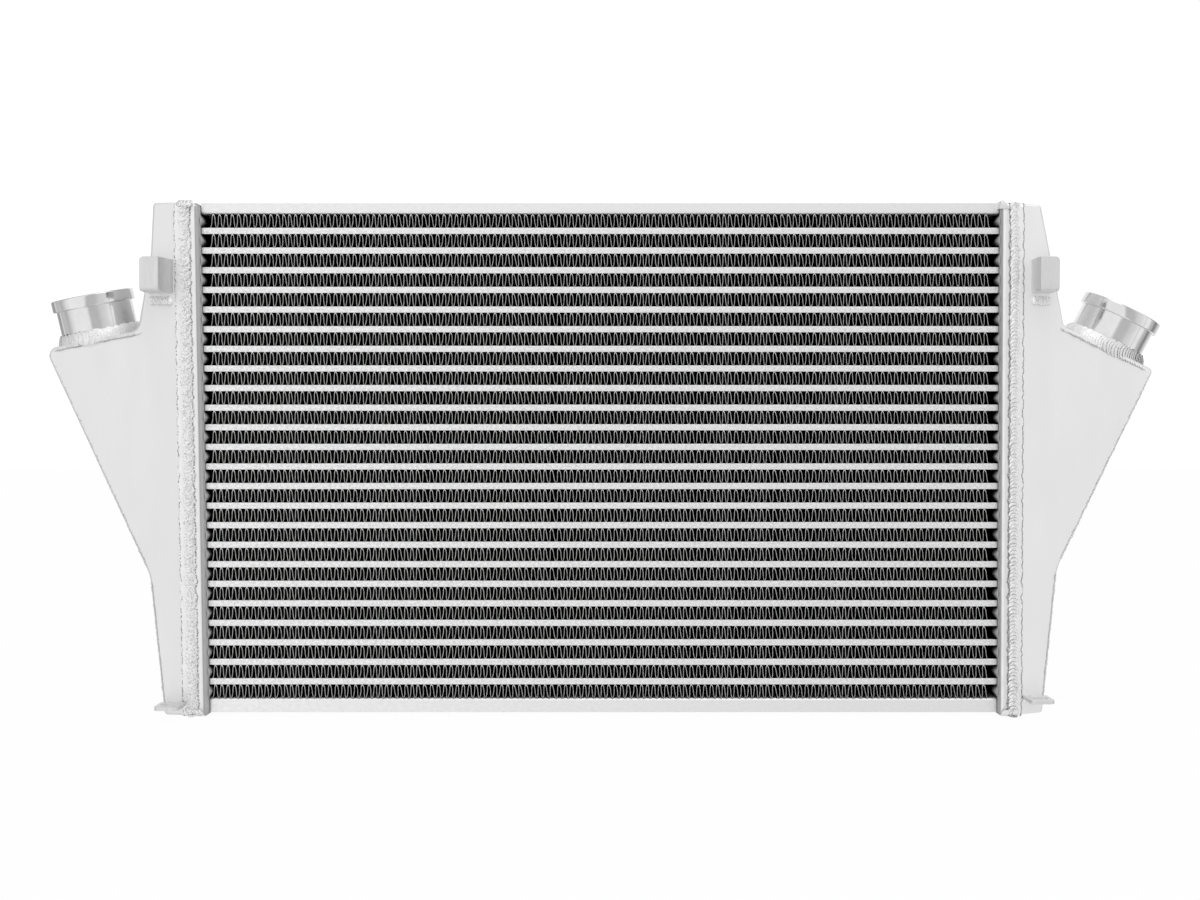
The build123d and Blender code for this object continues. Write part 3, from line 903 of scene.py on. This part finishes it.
# %% [markdown]
# ## Seam welds
# Each seam goes all round the joint of pan and tank. The bead lies against a narrow lip, where
# the tank's mouth was flared to slip over the pan. The lip is a square hoop: a cube without
# its two open ends, given a wall and rounded edges. The torch starts and stops at the corners,
# so there the bead is a little heap.

# %% Lay the seam welds
BEAD_X = {"left": 314.2 * MM, "right": 312.3 * MM}
BEAD_HALF = {"left": 4.4 * MM, "right": 3.6 * MM}
BEAD_PITCH = 2.8 * MM
BEAD_HEIGHT = {"left": 0.3 * MM, "right": 0.62 * MM}
BEAD_TIP = {"left": 8, "right": 20}
LIP_FROM = 313.4 * MM
LIP_TO = {"left": 321.0 * MM, "right": 319.3 * MM}
LIP_RISE = 0.7 * MM


def tank_lip(side, sign):
    width = LIP_TO[side] - LIP_FROM
    depth = BACK - FRONT + 2 * LIP_RISE
    bpy.ops.mesh.primitive_cube_add(
        size=1, location=(sign * (LIP_FROM + width / 2), MIDDLE_Y, PAN_TOP / 2),
        scale=(width, depth, PAN_TOP - 0.4 * MM))
    lip = settled()
    edit(lip)
    pick_faces(lip, lambda middle, normal: abs(normal.x) > 0.9)
    bpy.ops.mesh.delete(type="FACE")
    bpy.ops.object.mode_set(mode="OBJECT")
    apply_modifier(lip, "BEVEL", width=4 * MM, segments=4, limit_method="ANGLE")
    apply_modifier(lip, "SOLIDIFY", thickness=2 * MM, offset=-1)
    apply_modifier(lip, "BEVEL", width=0.35 * MM, segments=2, limit_method="ANGLE",
                   angle_limit=radians(50))
    return lip


def seam_bead(side, sign):
    x = sign * BEAD_X[side]
    front, back = FRONT - 0.35 * MM, BACK + 0.35 * MM
    low, high = 1.2 * MM, PAN_TOP - 0.8 * MM
    up = (x, front, low + 2 * MM), (x, front, high - 2 * MM)
    down = (x, back, high - 2 * MM), (x, back, low + 2 * MM)
    over = (x, front + 2 * MM, high), (x, back - 2 * MM, high)
    under = (x, back - 2 * MM, low), (x, front + 2 * MM, low)
    coins = []
    for ends, outward in ((up, (0, -1, 0)), (over, (0, 0, 1)), (down, (0, 1, 0)),
                          (under, (0, 0, -1))):
        start, end = ends if sign < 0 else reversed(ends)
        coins += straight_bead(start, end, outward, BEAD_HALF[side], BEAD_PITCH,
                               BEAD_HEIGHT[side], tip=BEAD_TIP[side])
    heaps = ((high, 0.7), (low + 2.5 * MM, -0.5)) if sign < 0 else ((low + 2.5 * MM, -0.5),)
    for z, up in heaps:
        coins += straight_bead((x - sign * 6 * MM, front, z), (x + sign * 2 * MM, front, z),
                               (0, -1, up), 3.4 * MM, 2.6 * MM, 1.1 * MM, uneven=0.3)
    return coins


def trim(piece):
    """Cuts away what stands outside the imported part's box at the bottom, the top and the back."""
    edit(piece)
    low, high = CAD_BOX
    for place, way in (((0, 0, low[2]), (0, 0, -1)), ((0, 0, high[2]), (0, 0, 1)),
                       ((0, high[1], 0), (0, 1, 0))):
        bpy.ops.mesh.select_all(action="SELECT")
        bpy.ops.mesh.bisect(plane_co=place, plane_no=way, clear_outer=True, use_fill=True,
                            threshold=1e-7)
    bpy.ops.object.mode_set(mode="OBJECT")
    return piece


for side, sign in SIDES.items():
    bead = trim(lean_over(join(seam_bead(side, sign)), side))
    finish_piece(bead, f"seam_bead_{side}", "weld", SEAM_METALS[side], f"seam_weld_{side}",
                 smooth=60)
    lip = lean_over(tank_lip(side, sign), side)
    finish_piece(lip, f"tank_lip_{side}", "tank", LIP_METALS[side], smooth=40)

# %% [markdown]
# ## A folded lug
# At the top right the end of the side plate is folded up over the header's corner. It is a
# cube whose upper points are drawn together to a blunt tip.

# %% Fold the lug
LUG_PLACE = (304.2 * MM, FRONT + 4.6 * MM, PAN_TOP - 2.0 * MM)
LUG_SIZE = (9 * MM, 11 * MM, 6.4 * MM)
LUG_TIP = 0.2                # share of the width that is left at the tip

bpy.ops.mesh.primitive_cube_add(size=1, location=LUG_PLACE, scale=LUG_SIZE)
lug = settled()
edit(lug)
pick(lug, lambda p: p.z > PAN_TOP)
bpy.ops.transform.resize(value=(LUG_TIP, 1, 1))
bpy.ops.transform.translate(value=(-1.6 * MM, 0.8 * MM, 0))
bpy.ops.object.mode_set(mode="OBJECT")
apply_modifier(lug, "BEVEL", width=0.4 * MM, segments=2, limit_method="ANGLE")
finish_piece(lug, "folded_lug", "side_plate", BRACKET_METAL, smooth=40)

# %% [markdown]
# ## Neck welds
# Round the foot of each neck the bead is wide and climbs the wall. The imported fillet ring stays
# as the body of this weld, and its coins are laid over its slope, each as tall as the slope.

# %% Lay the neck welds
NECK_COINS = 90
NECK_COIN_RADIUS = 30.9 * MM
NECK_COIN_TIP = {"left": 9, "right": 20}
NECK_COIN_RISE = 4.8 * MM


def neck_bead(side, sign):
    place = neck_matrix(side)
    turn = place.to_3x3()
    coins = []
    for index in range(NECK_COINS):
        angle = sign * 2 * pi * index / NECK_COINS
        out = Vector((cos(angle), sin(angle), 0))
        tangent = sign * Vector((-sin(angle), cos(angle), 0))
        spot = place @ (out * NECK_COIN_RADIUS + Vector((0, 0, NECK_COIN_RISE)))
        outward = turn @ (out + Vector((0, 0, 0.3)))
        coins.append(coin_at(spot, turn @ tangent, outward, 6.2 * MM, 5.0 * MM, 0.55 * MM,
                             tip=NECK_COIN_TIP[side], uneven=0.09, loose=0.5))
    return coins


for side, sign in SIDES.items():
    finish_piece(trim(join(neck_bead(side, sign))), f"neck_bead_{side}", "weld", SMOOTH_WELD_METAL,
                 smooth=60)

# %% [markdown]
# ## Small welds
# A short bead holds each upper bracket below its shelf and each lower tab below its foot, and
# fine beads run down the outer edges of the tanks, where their front and back sheets meet the
# side. The corner points are those of the tank's outline.

# %% Lay the small welds
EDGE_BEAD_CLEAR = 7 * MM
EDGE_INSET = 0.9 * MM
LEDGE_BEAD_HALF = 2.2 * MM
SIDE_BEAD_HALF = 1.25 * MM
TANK_CORNERS = {
    "left": ((-340.4, 292.6), (-417.2, 277.4), (-340.0, 107.2), (-329.6, 4.0)),
    "right": ((343.0, 297.0), (416.6, 261.6), (345.3, 113.0), (334.9, 6.0)),
}


def edge_beads(side):
    """Thin beads along the ledge and the outer side, on the front and back edges."""
    coins = []
    points = [Vector((x * MM, 0, z * MM)) for x, z in TANK_CORNERS[side]]
    middle = Vector((0, 0, points[1].z / 2))
    for y, way in ((FRONT + EDGE_INSET, -1), (BACK - EDGE_INSET, 1)):
        for leg, (start, end) in enumerate(zip(points, points[1:])):
            normal = (end - start).cross(Vector((0, 1, 0))).normalized()
            if normal.dot(start - middle) < 0:
                normal = -normal
            inside = Vector((0, y, 0)) - normal * EDGE_INSET
            clear = (end - start).normalized() * EDGE_BEAD_CLEAR
            coins += straight_bead(start + clear + inside, end - clear + inside,
                                   normal + Vector((0, way, 0)),
                                   SIDE_BEAD_HALF if leg else LEDGE_BEAD_HALF,
                                   2.0 * MM, 0.24 * MM, wander=0.1 * MM)
    return coins


def under_bracket(side, sign):
    low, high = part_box(f"upper_bracket_weld_{side}")
    z = (low.z + high.z) / 2 - 1.2 * MM
    inner, outer = (high.x, low.x) if sign < 0 else (low.x, high.x)
    inset = (inner - outer) * 0.12
    return straight_bead((outer + inset, FRONT, z), (inner - inset, FRONT, z), (0, -1, 0.25),
                         4.2 * MM, 1.8 * MM, 0.55 * MM, tip=22, uneven=0.1, loose=0.5)


def under_tab(side):
    low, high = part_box(f"lower_tab_weld_{side}")
    z = high.z - 0.8 * MM
    return straight_bead((low.x, high.y, z), (high.x, high.y, z), (0, -1, -0.6),
                         2.2 * MM, 2.0 * MM, 0.5 * MM)


for side, sign in SIDES.items():
    finish_piece(trim(join(edge_beads(side))), f"edge_bead_{side}", "weld", COIN_METAL,
                 smooth=60)
    finish_piece(trim(join(under_bracket(side, sign))), f"bracket_bead_{side}", "weld", COIN_METAL,
                 f"upper_bracket_weld_{side}", smooth=60)
    finish_piece(trim(join(under_tab(side))), f"tab_bead_{side}", "weld", COIN_METAL,
                 f"lower_tab_weld_{side}", smooth=60)
bpy.data.objects.remove(COIN)

# %% [markdown]
# ## Floor and light
# The cooler stands on a plain white floor in a white room. A room that is white all round
# lights metal flatly, so it also has grey upright bands at both sides and in front. Only
# reflections see them: the smooth necks show them as dark streaks, and the satin sheet blurs
# them away. A neck that leans out reflects the floor on its outer side, so reflections pass
# through the floor and find the same bands below it.

# %% Bands of light and dark by direction
BANDS = ((-158, 1.0), (-142, 0.45), (-119, 0.36), (-115, 0.85), (-111, 0.85), (-107, 0.58),
         (-92, 0.66), (-82, 0.52), (-74, 0.66), (-64, 0.86), (-50, 1.0), (-7, 1.0), (-1, 0.58),
         (22, 0.6), (30, 0.74), (48, 0.86), (57, 1.0), (59, 1.0), (61, 0.5), (63, 1.0),
         (78, 1.0), (85, 0.62), (96, 0.54), (101, 0.28), (112, 0.32), (118, 0.6), (134, 0.85),
         (148, 1.0), (160, 1.0), (163, 0.5), (166, 1.0))


def band_light(tree, place, bands):
    """Brightness by the direction round the vertical axis: 0 degrees is the front."""
    split = add(tree, "SeparateXYZ", place)
    forward = add(tree, "Math", split.outputs["Y"], -1, operation="MULTIPLY")
    azimuth = add(tree, "Math", split.outputs["X"], forward, operation="ARCTAN2")
    share = add(tree, "MapRange", azimuth, From_Min=-pi, From_Max=pi)
    ramp = add(tree, "ValToRGB", share)
    stops = ramp.color_ramp.elements
    for index, (degrees, light) in enumerate(sorted(bands)):
        stop = stops[index] if index < 2 else stops.new(1)
        stop.position = (degrees + 180) / 360
        stop.color = grey(light)
    return ramp.outputs[0]


print("bands:", len(BANDS))

# %% [markdown]
# ## Floor
# The camera sees the floor as plain white with a trace of the cooler's shadow, and the light
# that lies on it goes back up to the cooler.

# %% Floor
FLOOR_GLOW = 0.96            # share of plain white that the camera sees in the floor


def white_floor():
    bpy.ops.mesh.primitive_plane_add(size=12, location=(0, 0, -0.6 * MM))
    floor = bpy.context.object
    floor.name = "floor"
    material, tree, _, diffuse = new_metal("white_floor", 1)
    diffuse.inputs["Metallic"].default_value = 0
    diffuse.inputs["Base Color"].default_value = grey(0.92)
    rays = add(tree, "LightPath")
    share = add(tree, "Math", rays.outputs["Is Camera Ray"], FLOOR_GLOW, operation="MULTIPLY")
    seen = add(tree, "MixShader", share, diffuse, add(tree, "Emission", Strength=1.0))
    reflected = add(tree, "MixShader", rays.outputs["Is Glossy Ray"], seen,
                    add(tree, "BsdfTransparent"))
    put(tree, reflected, tree.nodes["Material Output"].inputs["Surface"])
    floor.data.materials.append(material)


white_floor()
print("floor laid")

# %% [markdown]
# ## The room
# The room's light is white with the bands above. The camera itself sees plain white.

# %% The white room
ROOM_LIGHT = 1.08


def white_room():
    world = bpy.data.worlds.new("white_room")
    bpy.context.scene.world = world
    world.use_nodes = True
    tree = world.node_tree
    light = band_light(tree, add(tree, "TexCoord").outputs["Generated"], BANDS)
    rays = add(tree, "LightPath")
    background = tree.nodes["Background"]
    background.inputs["Strength"].default_value = ROOM_LIGHT
    put(tree, mixed(tree, rays.outputs["Is Camera Ray"], light, grey(1)),
        background.inputs["Color"])


white_room()
print("room lit")

# %% [markdown]
# ## Lamp
# A broad lamp above and in front brightens what looks up, so that rounds and ripples read.

# %% Lamp
bpy.ops.object.light_add(type="AREA", location=(0.3, -0.9, 1.9))
lamp = bpy.context.object
lamp.name = "top_lamp"
lamp.data.size = 1.2
lamp.data.energy = 6
lamp.rotation_euler = (Vector((0, 0, 0.2)) - lamp.location).to_track_quat("-Z", "Y").to_euler()
print("lamp set")

# %% [markdown]
# ## Camera
# The view is square on to the front, with the camera a little above half height and tipped
# down by one degree.

# %% Camera
CAMERA_DISTANCE = 1.160
CAMERA_HEIGHT = 0.224
CAMERA_PITCH = 1.08
CAMERA_ANGLE = 42.6

bpy.ops.object.camera_add(location=(0, FRONT - CAMERA_DISTANCE, CAMERA_HEIGHT),
                          rotation=(radians(90 - CAMERA_PITCH), 0, 0))
camera = bpy.context.object
camera.data.sensor_fit = "HORIZONTAL"
camera.data.angle = radians(CAMERA_ANGLE)
bpy.context.scene.camera = camera
bpy.context.scene.view_settings.view_transform = "Standard"
print("camera at", tuple(round(v, 3) for v in camera.location))
